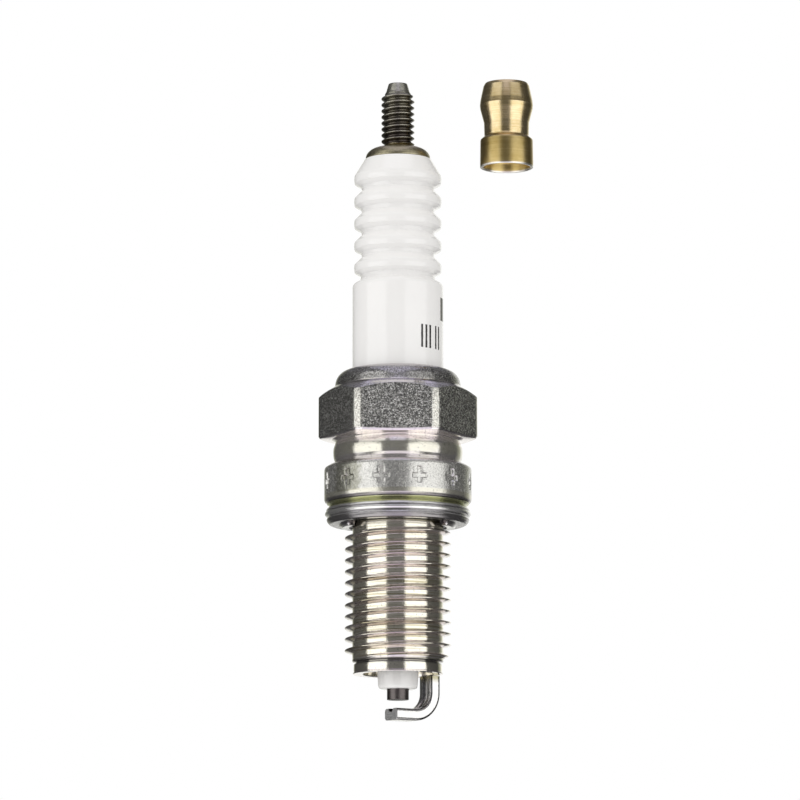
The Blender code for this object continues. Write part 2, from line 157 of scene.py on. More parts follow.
def lathe(name, points, count, closed=True, segments=3, sharp_degrees=SHARP_DEGREES):
    """A turned mesh whose profile is the same all round."""
    outline = rounded(points, segments)
    return surface(name, lambda angle: outline, even_angles(count), closed,
                   sharp_degrees=sharp_degrees)


def smooth_step(value):
    """Rises smoothly from 0 to 1 as value does."""
    value = min(1.0, max(0.0, value))
    return value * value * (3 - 2 * value)


# Half of a ridge: share of a pitch from the crest, and share of the thread's depth there
ROLLED_RIDGE = ((0.0, 1.0), (0.03, 0.99), (0.05, 0.95), (0.15, 0.5), (0.24, 0.08), (0.26, 0.02),
                (0.29, 0.0), (0.36, 0.012), (0.43, 0.0), (0.5, 0.012))
CUT_RIDGE = ((0.0, 1.0), (0.035, 0.99), (0.07, 0.94), (0.10, 0.86), (0.24, 0.5), (0.38, 0.14),
             (0.42, 0.05), (0.46, 0.01), (0.5, 0.0))


def thread_rows(angle, top, bottom, root, crest, pitch, crest_height, fade, ridge=CUT_RIDGE):
    """Outline of a right-hand thread at one angle, from top to bottom.

    crest_height is the height of a crest at angle 0. The ridge fades out over fade[0] at the
    top and fade[1] at the bottom."""
    form = list(ridge) + [(1 - share, depth) for share, depth in reversed(ridge[1:-1])]
    rows = []
    first = math.ceil((top - crest_height) / pitch) + 1
    last = math.floor((bottom - crest_height) / pitch) - 2
    for turn in range(first, last, -1):
        for share, depth in form:
            z = crest_height + pitch * (turn - share + angle / math.tau)
            edge = smooth_step((top - z) / fade[0]) * smooth_step((z - bottom) / fade[1])
            radius = root + (crest - root) * depth * edge
            inside = bottom < z < top
            rows.append((radius if inside else root, min(top, max(bottom, z))))
    return rows


# ------------------------------------------------------------------ shell

LIP_RADIUS, LIP_MOUTH = 6.98, 5.17
LIP_MIDDLE, LIP_RISE = 13.2, 1.72               # the lip's ellipse: its centre and its height
HEX_LOW, HEX_HIGH = 7.2, 13.0
HEX_SLOPE, UNDERSIDE_SLOPE = 0.62, 0.14         # fall and rise of the chamfers per millimetre out
HEX_ROUNDING = 1.6
COLUMNS, CORNER_STEPS, CORNER_STEP = 180, 8, math.radians(0.42)     # extra ones at corners
SAME_ANGLE = 1e-4                               # radians: columns closer than this are one
COLLAR_RADIUS, COLLAR_TOP, COLLAR_LOW = 8.17, 3.58, 0.65
MARK_COUNT, MARK_FIRST, MARK_DEPTH = 12, math.radians(-102), 0.24
MARK_BARS = ((0.17, 1.42, 3.05), (0.74, 1.95, 2.33))     # half width, lowest and highest point
MARK_WALL = 0.13                                        # width of a stamped bar's sloping wall
RELIEF_RADIUS, THREAD_CREST, THREAD_PITCH = 5.02, 5.88, 1.25
THREAD_TOP, THREAD_END, CREST_HEIGHT = -2.72, -17.62, -3.3
THREAD_FADE = (0.7, 1.0)


def hexagon_radius(angle):
    """Distance from the axis to the hexagon's side, corners rounded, flats facing +Y and -Y."""
    from_flat = (angle % (math.pi / 3)) - math.pi / 6
    centre = (FLAT_APOTHEM - HEX_ROUNDING) / math.cos(math.pi / 6)
    tangent = math.atan((FLAT_APOTHEM - HEX_ROUNDING) * math.tan(math.pi / 6) / FLAT_APOTHEM)
    if abs(from_flat) < tangent:
        return FLAT_APOTHEM / math.cos(from_flat)
    off = math.pi / 6 - abs(from_flat)
    return centre * math.cos(off) + math.sqrt(HEX_ROUNDING ** 2 - (centre * math.sin(off)) ** 2)


def shell_angles():
    """Even columns, with more round the hexagon's corners and at the stamped marks' edges."""
    angles = set(even_angles(COLUMNS))
    for corner in range(6):
        for step in range(-CORNER_STEPS, CORNER_STEPS + 1):
            angles.add(corner * math.pi / 3 + step * CORNER_STEP)
    for mark in range(MARK_COUNT):
        middle = MARK_FIRST + math.tau * mark / MARK_COUNT
        for half_width, _, _ in MARK_BARS:
            for edge in (half_width, half_width + MARK_WALL):
                angles.update((middle - edge / COLLAR_RADIUS, middle + edge / COLLAR_RADIUS))
    angles = sorted(a % math.tau for a in angles)
    return [a for i, a in enumerate(angles) if i == 0 or a - angles[i - 1] > SAME_ANGLE]


def mark_depth(angle, height):
    """How far the stamped marks sink the collar at a point."""
    spacing = math.tau / MARK_COUNT
    away = abs((angle - MARK_FIRST + spacing / 2) % spacing - spacing / 2) * COLLAR_RADIUS
    depth = 0.0
    for half_width, low, high in MARK_BARS:
        past = max(away - half_width, low - height, height - high)
        depth = max(depth, 1 - smooth_step(past / MARK_WALL))
    return depth * MARK_DEPTH


def collar_rows(angle):
    """The collar's side with its stamped marks, from top to bottom."""
    heights = {COLLAR_TOP, COLLAR_LOW}
    for _, low, high in MARK_BARS:
        heights.update((low - MARK_WALL, low, high, high + MARK_WALL))
    return [(COLLAR_RADIUS - mark_depth(angle, z), z) for z in sorted(heights, reverse=True)]


def shell_outline(angle):
    """The whole shell's profile at one angle: down its outside and back up its bore."""
    hexagon = hexagon_radius(angle)
    chamfer = HEX_HIGH - (hexagon - LIP_RADIUS) * HEX_SLOPE
    rise = (hexagon - FLAT_APOTHEM) * UNDERSIDE_SLOPE
    lip_start = LIP_MOUTH + 0.03
    lip = ellipse((lip_start, LIP_MIDDLE), (LIP_RADIUS - lip_start, LIP_RISE), 90, 9, 14)
    head = rounded([
        (6.15, 12.0, 0), (6.15, 13.3, 0.3), (LIP_MOUTH, 14.3, 0.2), (LIP_MOUTH, 14.88, 0),
        *sharp(lip),
        (LIP_RADIUS + 0.045, HEX_HIGH + 0.06, 0), (LIP_RADIUS + 0.09, HEX_HIGH - 0.03, 0.02),
        (hexagon, chamfer, 0.07), (hexagon, HEX_LOW + 0.14 + rise, 0.04),
        (hexagon - 0.16, HEX_LOW - 0.1 + rise, 0.03),
        (7.35, HEX_LOW - 0.12, 0.1), (7.05, HEX_LOW - 0.24, 0.05), (6.9, HEX_LOW - 0.34, 0.05),
        (7.1, 6.3, 0.12), (7.165, 6.05, 0.12), (7.19, 5.7, 0.15), (7.17, 5.3, 0.15),
        (7.11, 4.92, 0.12), (7.0, 4.62, 0.08), (6.92, 4.46, 0.04), (7.2, 4.36, 0.05),
        (7.72, 4.14, 0.2), (8.12, 3.88, 0.2), (COLLAR_RADIUS, 3.62, 0)])
    collar = collar_rows(angle)
    below = rounded([
        (COLLAR_RADIUS, 0.6, 0), (COLLAR_RADIUS - 0.01, 0.34, 0.04),
        (COLLAR_RADIUS - 0.08, 0.14, 0.03), (7.92, 0.0, 0.05), (5.6, 0.0, 0.1),
        (RELIEF_RADIUS, 0.0, 0.15), (RELIEF_RADIUS, THREAD_TOP + 0.02, 0)])
    thread = thread_rows(angle, THREAD_TOP, THREAD_END, RELIEF_RADIUS, THREAD_CREST,
                         THREAD_PITCH, CREST_HEIGHT, THREAD_FADE, ROLLED_RIDGE)
    end = rounded([
        (5.0, -17.64, 0.03), (4.66, -17.72, 0.03), (4.66, -17.86, 0.03), (4.87, -17.93, 0.05),
        (4.88, -18.4, 0), (4.87, -18.78, 0.03), (4.84, -18.82, 0.02),
        (4.96, -18.88, 0.04), (4.96, SHELL_END, 0.05), (3.9, SHELL_END, 0.08), (3.9, -10.1, 0.1),
        (3.35, -9.5, 0.1), (3.35, -8.5, 0.1), (4.0, -7.9, 0.1), (4.0, 1.0, 0.1), (6.15, 1.75, 0)])
    return head + collar + below + thread + end


def build_shell():
    return surface("steel_shell", shell_outline, shell_angles(), True)


# ------------------------------------------------------------------ insulator

RIB_PITCH, RIB_COUNT, TOP_RIB = 2.525, 5, 36.58
RIB_RADIUS, RIB_VALLEY, CERAMIC_RADIUS = 4.9, 4.02, 5.065


def build_insulator():
    points = [(2.0, CERAMIC_TOP, 0), (3.74, CERAMIC_TOP, 0.08)]
    for i in range(RIB_COUNT):
        crest = TOP_RIB - i * RIB_PITCH
        points += [(RIB_RADIUS - 0.03, crest + 0.38, 0.25), (RIB_RADIUS, crest, 0.5),
                   (RIB_RADIUS - 0.05, crest - 0.48, 0.16), (RIB_VALLEY + 0.08, crest - 0.82, 0.16),
                   (RIB_VALLEY + 0.02, crest + 1.22 - RIB_PITCH, 0.25)]
    step = TOP_RIB - RIB_COUNT * RIB_PITCH
    points[-1] = (RIB_VALLEY + 0.2, step + 1.12, 0.25)
    points += [
        (CERAMIC_RADIUS, step + 0.62, 0.55), (CERAMIC_RADIUS, step - 0.6, 0),
        (CERAMIC_RADIUS, 10.2, 0.2), (BARREL_RADIUS, 9.2, 0.2), (BARREL_RADIUS, 2.6, 0.2),
        (3.8, 1.45, 0.2), (3.8, -7.3, 0.2), (2.9, -8.35, 0.2), (2.75, -9.7, 0.2),
        (2.25, SHELL_END, 0.5), (2.22, SHELL_END - 0.6, 0), (2.16, NOSE_END, 0.85),
        (1.25, NOSE_END, 0.05), (1.25, 1.2, 0.05), (2.0, 1.9, 0.05)]
    return lathe("glazed_insulator", points, 192, segments=6, sharp_degrees=60)


# ------------------------------------------------------------------ terminal

STUD_ROOT, STUD_CREST, STUD_CREST_HEIGHT = 1.47, 1.86, 40.62
NUT_ROOT, NUT_CREST, NUT_CREST_HEIGHT = 1.98, 1.72, 2.0      # its height is from the nut's base
M4_PITCH, TURNED_COLUMNS = 0.7, 128
FLANGE_INNER = 1.95


def stud_outline(angle):
    """The stud's profile at one angle: tip, thread, flange, shank and its knurled end."""
    base = CERAMIC_TOP + 0.05
    top = rounded([
        (0.0, STUD_TIP, 0), (1.05, STUD_TIP, 0.12), (1.32, STUD_TIP - 0.95, 0.1),
        (STUD_ROOT, STUD_TIP - 1.2, 0)])
    thread = thread_rows(angle, STUD_TIP - 1.22, base + 1.42, STUD_ROOT, STUD_CREST, M4_PITCH,
                         STUD_CREST_HEIGHT, (0.35, 0.3))
    dome = ellipse((FLANGE_INNER, base + 0.12), (FLANGE_RADIUS - FLANGE_INNER, 1.2), 90, 0, 14)
    flange = rounded([
        (STUD_ROOT, base + 1.4, 0), (STUD_ROOT + 0.1, base + 1.34, 0.05), *sharp(dome),
        (FLANGE_RADIUS, base, 0.06), (1.8, base, 0.05), (1.8, 20.0, 0.05), (1.5, 19.6, 0.05)])
    knurl = [(1.68 - 0.16 * (i % 2), 19.2 - 0.22 * i) for i in range(9)]
    return top + thread + flange + knurl + [(1.1, STUD_END), (0.0, STUD_END)]


def build_stud():
    return surface("threaded_stud", stud_outline, even_angles(TURNED_COLUMNS), False)


def nut_outline(angle):
    """The nut's profile at one angle, with its base at height 0."""
    height = NUT_TOP - NUT_BASE
    outside = rounded([
        (0.0, height, 0), (2.4, height, 0.16), (2.58, height - 0.35, 0.2),
        (2.8, height - 1.35, 0.6),
        (2.92, height - 1.95, 0.3), (2.98, height - 2.5, 0.2), (2.94, height - 2.95, 0.3),
        (2.53, height - 4.5, 0.3),
        (2.49, 3.72, 0.04), (2.44, 3.6, 0.04), (2.9, 3.2, 0.05), (2.94, 3.08, 0.08),
        (NUT_RADIUS, 0.08, 0.05), (NUT_RADIUS - 0.05, 0.0, 0.03), (2.68, 0.0, 0.05),
        (2.56, 0.45, 0.1), (2.46, 0.95, 0.1), (NUT_ROOT, 1.45, 0)], 4)
    bore = thread_rows(angle, 7.6, 1.5, NUT_ROOT, NUT_CREST, M4_PITCH, NUT_CREST_HEIGHT,
                       (0.4, 0.4))
    return outside + bore[::-1] + [(1.2, 8.0), (0.0, 8.2)]


def build_nut():
    low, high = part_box("terminal_nut")
    centre = ((low[0] + high[0]) / 2 / MM, 0, NUT_BASE)
    return surface("brass_terminal_nut", nut_outline, even_angles(TURNED_COLUMNS), False, centre)


# ------------------------------------------------------------------ gasket and centre electrode

GASKET_TABS = (math.radians(-8), math.radians(90), math.radians(188))
TAB_HALF_ANGLE, TAB_FADE = math.radians(20), math.radians(9)
GASKET_UNDERSIDE = -2.3


def gasket_outline(angle):
    """The folded ring; three inner tabs hang below it and keep it on the shell."""
    away = min(abs((angle - tab + math.pi) % math.tau - math.pi) for tab in GASKET_TABS)
    hang = 1 - smooth_step((away - TAB_HALF_ANGLE) / TAB_FADE)
    bore, inner = 5.42 + 0.35 * (1 - hang), 6.42 - 0.05 * hang
    low = GASKET_UNDERSIDE + (GASKET_LIP - GASKET_UNDERSIDE) * hang
    return rounded([
        (bore, GASKET_TOP, 0), (7.95, GASKET_TOP, 0.04), (7.5, -0.36, 0.06),
        (7.9, -0.7, 0.06), (7.97, -0.86, 0.05), (7.74, -0.98, 0.03), (8.06, -1.1, 0.06),
        (8.1, -1.3, 0.06), (7.96, -1.46, 0.05), (7.62, -1.6, 0.04), (7.84, -1.72, 0.05),
        (7.91, -1.86, 0.05), (7.82, -2.12, 0.06), (7.64, -2.32, 0.08), (7.45, -2.4, 0.06),
        (6.55, -2.4, 0.04),
        (inner, GASKET_UNDERSIDE + 0.7 * (low - GASKET_UNDERSIDE), 0.08), (6.15, low, 0.05),
        (bore, low + 0.05, 0.05)], 4)


def build_gasket():
    return surface("folded_gasket", gasket_outline, even_angles(200), True)


def build_center_electrode():
    points = [
        (0.0, -19.7, 0), (0.75, -19.7, 0.02), (0.75, ELECTRODE_TOP, 0.02),
        (1.05, ELECTRODE_TOP, 0.04), (1.05, 2.55, 0.04), (1.75, 2.55, 0.06), (1.75, 2.05, 0.06),
        (1.2, 1.45, 0.06), (1.2, ELECTRODE_END, 0.06), (0.0, ELECTRODE_END, 0)]
    return lathe("nickel_center_electrode", points, 96, closed=False)


# ------------------------------------------------------------------ ground electrode

STRAP_BEARING = math.radians(34)
STRAP_WIDTH, STRAP_THICKNESS, STRAP_CORNER = 2.5, 1.3, 0.34
STRAP_LEG, STRAP_PAST = 4.2, 0.93       # the leg's and the tip's distance from the plug's axis
BEND_RADIUS, LEG_STEPS, BEND_STEPS = 2.5, 4, 24
RUN_SHARES = (0.3, 0.6, 0.85, 0.95, 0.985, 1.0)
TIP_SIZES = (1.0, 0.985, 0.955)         # of the section, at the last three stations
GROOVE_HALF, GROOVE_DEPTH, GROOVE_EDGE = 0.46, 0.42, 0.04


def strap_section():
    """Outline of the strip: width along u, thickness along v, +v facing the centre electrode."""
    half_width, half, corner = STRAP_WIDTH / 2, STRAP_THICKNESS / 2, STRAP_CORNER
    edge = GROOVE_HALF + GROOVE_EDGE
    points = []
    for sign_u, sign_v, start in ((1, 1, 0), (-1, 1, 90), (-1, -1, 180), (1, -1, 270)):
        if (sign_u, sign_v) == (-1, 1):
            groove = ellipse((0, half), (GROOVE_HALF, GROOVE_DEPTH), 360, 180, 10)
            points += [(edge, half)] + groove[1:-1] + [(-edge, half)]
        points += ellipse((sign_u * (half_width - corner), sign_v * (half - corner)),
                          (corner, corner), start, start + 90, 5)
    return points


def strap_path():
    """Points and inward directions along the strip's middle, from the weld to the tip."""
    low = STRAP_BOTTOM + STRAP_THICKNESS / 2
    centre = (STRAP_LEG - BEND_RADIUS, low + BEND_RADIUS)
    stations = []
    for i in range(LEG_STEPS):
        height = STRAP_TOP + (centre[1] - STRAP_TOP) * i / LEG_STEPS
        stations.append(((STRAP_LEG, height), (-1.0, 0.0)))
    for i in range(BEND_STEPS + 1):
        angle = math.radians(-90 * i / BEND_STEPS)
        outward = (math.cos(angle), math.sin(angle))
        place = (centre[0] + BEND_RADIUS * outward[0], centre[1] + BEND_RADIUS * outward[1])
        stations.append((place, (-outward[0], -outward[1])))
    run = centre[0] + STRAP_PAST
    for share in RUN_SHARES:
        stations.append(((centre[0] - run * share, low), (0.0, 1.0)))
    return stations


def build_ground_electrode():
    section = strap_section()
    stations = strap_path()
    across = Vector((math.sin(STRAP_BEARING), -math.cos(STRAP_BEARING), 0))
    along = Vector((math.cos(STRAP_BEARING), math.sin(STRAP_BEARING), 0))
    up = Vector((0, 0, 1))
    points = []
    for i, ((x, z), (inward_x, inward_z)) in enumerate(stations):
        size = TIP_SIZES[max(0, i - len(stations) + len(TIP_SIZES))]
        for u, v in section:
            points.append((along * (x + inward_x * v * size) + up * (z + inward_z * v * size)
                           + across * u * size) * MM)
    count, total = len(section), len(stations)
    faces = []
    for i in range(total - 1):
        for j in range(count):
            k = (j + 1) % count
            faces.append((i * count + j, i * count + k, (i + 1) * count + k, (i + 1) * count + j))
    mesh = bpy.data.meshes.new("ground_strap")
    caps = [tuple(range(count)), tuple(range((total - 1) * count, total * count))]
    mesh.from_pydata([tuple(p) for p in points], [], faces + caps)
    work = bmesh.new()
    work.from_mesh(mesh)
    bmesh.ops.recalc_face_normals(work, faces=work.faces)
    bmesh.ops.triangulate(work, faces=[f for f in work.faces if len(f.verts) > 4])
    work.to_mesh(mesh)
    work.free()
    return shaded_object("ground_strap", mesh)


# ------------------------------------------------------------------ node trees

BLACK, WHITE = (0, 0, 0), (1, 1, 1)
BAND_OUTSIDE, BAND_INSIDE = 0.05, 0.15       # a band's soft edge, past it and inside it


class Nodes:
    """A node tree, with short calls for the nodes that it is made of."""

    def __init__(self, tree):
        self.tree = tree

    def node(self, kind, **settings):
        made = self.tree.nodes.new(kind)
        for key, value in settings.items():
            setattr(made, key, value)
        return made

    def link(self, output, socket):
        self.tree.links.new(output, socket)

    def feed(self, socket, value):
        """Set a socket to a number or a colour, or link another node's output to it."""
        if isinstance(value, (int, float)):
            socket.default_value = value
        elif isinstance(value, tuple):
            socket.default_value = (*value, 1.0)
        else:
            self.link(value, socket)

    def math(self, operation, first, second=None):
        made = self.node("ShaderNodeMath", operation=operation)
        self.feed(made.inputs[0], first)
        if second is not None:
            self.feed(made.inputs[1], second)
        return made.outputs[0]

    def product(self, *factors):
        result = factors[0]
        for factor in factors[1:]:
            result = self.math("MULTIPLY", result, factor)
        return result

    def blend(self, kind, factor, first, second):
        made = self.node("ShaderNodeMix", data_type="RGBA", blend_type=kind)
        self.feed(made.inputs["Factor"], factor)
        self.feed(made.inputs["A"], first)
        self.feed(made.inputs["B"], second)
        return made.outputs["Result"]

    def mix(self, factor, first, second):
        return self.blend("MIX", factor, first, second)

    def tinted(self, factor, colour, tint):
        """The colour multiplied by the tint, as far as factor says."""
        return self.blend("MULTIPLY", factor, colour, tint)

    def ramp(self, value, stops):
        """Colours by value. Each stop is (position, colour)."""
        made = self.node("ShaderNodeValToRGB")
        elements = made.color_ramp.elements
        while len(elements) < len(stops):
            elements.new(0.5)
        for element, (position, colour) in zip(elements, stops):
            element.position = position
            element.color = (*colour, 1.0)
        self.link(value, made.inputs["Fac"])
        return made.outputs["Color"]

    def map_range(self, value, before, after=(0.0, 1.0), interpolation="LINEAR"):
        """Carry the range before to the range after, and stop at its ends."""
        made = self.node("ShaderNodeMapRange", interpolation_type=interpolation)
        names = ("From Min", "From Max", "To Min", "To Max")
        for name, number in zip(names, (*before, *after)):
            made.inputs[name].default_value = number
        self.link(value, made.inputs["Value"])
        return made.outputs["Result"]

    def mapped(self, value, low, high):
        """Carry 0 to low and 1 to high."""
        return self.map_range(value, (0.0, 1.0), (low, high))

    def eased(self, value, start, end, least=0.0):
        """Rise smoothly from least at start to one at end."""
        return self.map_range(value, (start, end), (least, 1.0), "SMOOTHSTEP")

    def split(self, vector):
        parts = self.node("ShaderNodeSeparateXYZ")
        self.link(vector, parts.inputs[0])
        return parts.outputs


class Finish(Nodes):
    """A Principled material. Sizes and places in it are in millimetres."""

    def __init__(self, name, metallic, roughness):
        self.material = bpy.data.materials.new(name)
        self.material.use_nodes = True
        super().__init__(self.material.node_tree)
        self.shader = self.tree.nodes["Principled BSDF"]
        self.set("Metallic", metallic)
        self.set("Roughness", roughness)
        self.place = self.node("ShaderNodeTexCoord").outputs["Object"]

    def set(self, name, value):
        self.feed(self.shader.inputs[name], value)

    def noise(self, size, detail=3.0, stretch=(1, 1, 1), rough=0.55):
        """Noise whose features are about size across."""
        mapping = self.node("ShaderNodeMapping")
        mapping.inputs["Scale"].default_value = [1 / (size * MM * s) for s in stretch]
        self.link(self.place, mapping.inputs["Vector"])
        noise = self.node("ShaderNodeTexNoise")
        noise.inputs["Scale"].default_value = 1.0
        noise.inputs["Detail"].default_value = detail
        noise.inputs["Roughness"].default_value = rough
        self.link(mapping.outputs["Vector"], noise.inputs["Vector"])
        return noise.outputs["Fac"]

    def bump(self, height, distance):
        made = self.node("ShaderNodeBump")
        made.inputs["Strength"].default_value = 1.0
        made.inputs["Distance"].default_value = distance * MM
        self.link(height, made.inputs["Height"])
        self.link(made.outputs["Normal"], self.shader.inputs["Normal"])

    def facing(self):
        """The surface's normal, as its X, Y and Z shares."""
        return self.split(self.node("ShaderNodeTexCoord").outputs["Normal"])

    def height(self):
        """Height along the plug's axis."""
        return self.math("MULTIPLY", self.split(self.place)["Z"], 1 / MM)

    def radius(self):
        """Distance from the plug's axis."""
        x, y, _ = self.split(self.place)
        square = self.math("ADD", self.math("MULTIPLY", x, x), self.math("MULTIPLY", y, y))
        return self.math("MULTIPLY", self.math("SQRT", square), 1 / MM)

    def bearing(self):
        """Angle round the plug's axis, in degrees from +X."""
        x, y, _ = self.split(self.place)
        return self.math("MULTIPLY", self.math("ARCTAN2", y, x), 180 / math.pi)

    def away_from(self, value, middle):
        return self.math("ABSOLUTE", self.math("SUBTRACT", value, middle))

    def height_mask(self, bands):
        """One inside the bands, given as (lowest, highest) up the axis, with soft edges."""
        mask, height = None, self.height()
        for low, high in bands:
            half = (high - low) / 2
            away = self.away_from(height, (low + high) / 2)
            band = self.eased(away, half + BAND_OUTSIDE, half - BAND_INSIDE)
            mask = band if mask is None else self.math("MAXIMUM", mask, band)
        return mask


# ------------------------------------------------------------------ finishes

LATHE_STRETCH = (60, 60, 1)                  # draws noise out into level rings

# Plating: its brightness, its tint on upright surfaces and its tint on level ones
SHELL_LEVEL, SHELL_TINT, SHELL_VIOLET = 0.72, (1.0, 0.97, 0.84), (1.0, 0.95, 0.96)
GASKET_LEVEL, GASKET_TINT, GASKET_VIOLET = 0.86, (1.0, 0.99, 0.95), (0.98, 0.97, 0.97)

# Bands of the shell, in heights from the seat
ROUGH_BANDS = ((7.3, 12.45), (0.75, 3.9), (13.05, 14.6))     # hexagon, collar and lip
CALM_BANDS, CALM = ((0.0, 4.5),), 0.7                        # the collar's grain is fainter
COLLAR_ROUGHER, ROUGH_ROUGHER = 0.09, 0.03
ROUND_BANDS = ((-1.0, 6.0), (13.1, 15.5))                    # no hexagon corners here
BRIGHT_BANDS = ((-19.3, -18.05), (-17.4, -2.2), (6.2, 7.3))
# Next: painted shade in the groove above the end ring and at the seat under the collar, then a
# darker lip
SHADE_BANDS, LIP_BANDS = ((-18.0, -17.5), (-0.1, 0.3)), ((13.05, 15.0),)
THREAD_BANDS = ((-17.8, -2.2),)
HAZY_BANDS, MILKY_BANDS, HAZE = ((-17.9, 7.0),), ((0.3, 7.3),), 0.06
CORNER_EDGES, CORNER_GRAIN = (2.0, 6.5), 0.6       # degrees from a worn corner; grain on it
FORGED_GRAIN, FORGED_DEPTH = 0.13, 0.019
RING_SIZE, RING_DEPTH, FINE_DEPTH = 0.2, 0.012, 0.004
SPARKLE_SIZE, SPARKLE = 0.3, 0.16

# The stained patch on the collar's left, in degrees from +X
STAIN_BEARING, STAIN_HALF, STAIN_EDGE, STAIN_WANDER = -133, 17, 8, 9.0
STAIN_BANDS = ((0.6, 4.4),)

# The print, in degrees from +X and millimetres: middle, half width, lowest and highest point
PRINT_BARS = ((-57, 1.5, 16.9, 19.5), (-50.5, 1.5, 16.9, 19.5), (-44, 1.5, 16.9, 19.5),
              (-33, 1.5, 16.9, 19.5), (-26, 1.5, 16.9, 19.5), (-13, 7.0, 20.3, 22.9))

# Bands of the gasket
FOLD_BANDS, LOWER_BANDS = ((-0.65, 0.1),), ((-2.7, -1.75),)
# The crease bands set where painted shade darkens the gasket's creases, and the crease share how
# much
CREASE_SHADE_BANDS = ((-0.5, -0.3), (-1.08, -0.88), (-1.7, -1.5))
FOLD_SHARE, CREASE_SHADE_SHARE = 0.9, 0.65

NUT_SKIRT = (NUT_BASE - 0.2, NUT_BASE + 3.2)
# A pale band round the nut's mouth: a painted highlight
NUT_RIM_HIGHLIGHT = (NUT_BASE - 0.2, NUT_BASE + 0.2)
STUD_THREAD_BANDS = ((40.4, 46.6),)
CREST_RADII, CREST_SHARE = (1.74, 1.84), 0.8     # radii over which the stud's crests brighten
WELD_LOW, WELD_HIGH = STRAP_TOP - 0.9, STRAP_TOP - 0.1
TORN_DEPTH = 0.03                                  # of the strap's sheared tip


def plating_colour(finish, level, tint, violet):
    """Plating that wanders from one tint to the other as the surface tips over."""
    tilt = finish.math("ABSOLUTE", finish.facing()["Z"])
    wander = finish.mapped(finish.noise(2.2, 4.0, (1, 1, 0.6)), -0.35, 0.35)
    colour = finish.ramp(finish.math("ADD", tilt, wander), [(0.12, tint), (0.5, violet)])
    patches = [(0.3, (level * 0.9,) * 3), (0.7, (level,) * 3)]
    tone = finish.ramp(finish.noise(1.3, 4.0, (1.5, 1.5, 0.5)), patches)
    return finish.tinted(1.0, colour, tone)


def gasket_finish():
    """Plated sheet: olive on its upper fold, dark below, with painted shade in its creases."""
    finish = Finish("gasket_steel", 0.93, 0.2)
    shade = plating_colour(finish, GASKET_LEVEL, GASKET_TINT, GASKET_VIOLET)
    shade = finish.tinted(finish.height_mask(LOWER_BANDS), shade, (0.38, 0.37, 0.38))
    olive = finish.product(finish.height_mask(FOLD_BANDS), FOLD_SHARE)
    shade = finish.tinted(olive, shade, (0.62, 0.64, 0.36))
    # Painted shade in the gasket's creases
    creases = finish.product(finish.height_mask(CREASE_SHADE_BANDS), CREASE_SHADE_SHARE)
    shade = finish.tinted(creases, shade, (0.22, 0.21, 0.22))
    finish.set("Base Color", shade)
    finish.set("Roughness", finish.mapped(finish.noise(0.5), 0.12, 0.28))
    finish.bump(finish.noise(0.2, 3.0), 0.016)
    return finish.material


def flat_mask(finish):
    """One on the hexagon's flats and less on its worn corners, which lie every 60 degrees."""
    from_corner = finish.math("PINGPONG", finish.bearing(), 30)
    flats = finish.eased(from_corner, *CORNER_EDGES, CORNER_GRAIN)
    return finish.math("MAXIMUM", flats, finish.height_mask(ROUND_BANDS))


def stain_mask(finish):
    """A mottled patch on the left of the collar."""
    away = finish.away_from(finish.bearing(), STAIN_BEARING)
    wander = finish.mapped(finish.noise(0.5, 4.0), -STAIN_WANDER, STAIN_WANDER)
    patch = finish.eased(finish.math("ADD", away, wander), STAIN_HALF, STAIN_HALF - STAIN_EDGE)
    mottle = finish.mapped(finish.noise(0.25, 3.0), 0.2, 1.0)
    return finish.product(patch, finish.product(finish.height_mask(STAIN_BANDS), mottle))


def shell_colour(finish, rough, calm, thread, rings):
    """Tinted plating with flecks on the grainy bands, stripes on the thread and a stain, a darker
    lip and painted shade in the groove above the end ring and at the seat under the collar.
    """
    shade = plating_colour(finish, SHELL_LEVEL, SHELL_TINT, SHELL_VIOLET)
    plain = finish.ramp(finish.noise(1.3, 4.0),
                        [(0.3, (0.60, 0.60, 0.59)), (0.7, (0.70, 0.70, 0.69))])
    shade = finish.mix(finish.product(rough, 0.7), shade, plain)
    flecks = finish.ramp(finish.noise(FORGED_GRAIN * 1.3, 3.0),
                         [(0.36, (0.45, 0.44, 0.43)), (0.6, WHITE)])
    shade = finish.tinted(finish.product(rough, calm, 0.8), shade, flecks)
    striped = finish.ramp(rings, [(0.34, (0.60, 0.57, 0.45)), (0.52, (0.98, 0.98, 0.97))])
    shade = finish.tinted(thread, shade, striped)
    shade = finish.tinted(finish.height_mask(BRIGHT_BANDS), shade, (1.23, 1.21, 1.21))
    # Painted shade in the groove above the end ring and at the seat under the collar, and a darker
    # lip
    darkened = finish.math("MAXIMUM", finish.product(finish.height_mask(SHADE_BANDS), 0.75),
                       finish.product(finish.height_mask(LIP_BANDS), 0.3))
    shade = finish.tinted(darkened, shade, (0.30, 0.29, 0.30))
    shade = finish.tinted(stain_mask(finish), shade, (0.30, 0.30, 0.20))
    specks = finish.ramp(finish.noise(0.16, 2.0), [(0.30, (0.5, 0.5, 0.5)), (0.38, WHITE)])
    return finish.tinted(1.0, shade, specks)


def shell_metallic(finish, rough):
    """Metal, with a thin milky film that sparkles on the grainy bands."""
    haze = finish.math("ADD", finish.product(finish.height_mask(HAZY_BANDS), HAZE),
                       finish.product(finish.height_mask(MILKY_BANDS), HAZE))
    sparkle = finish.ramp(finish.noise(SPARKLE_SIZE, 2.0), [(0.53, BLACK), (0.64, WHITE)])
    haze = finish.math("ADD", haze, finish.product(sparkle, rough, SPARKLE))
    return finish.math("SUBTRACT", 1.0, haze)


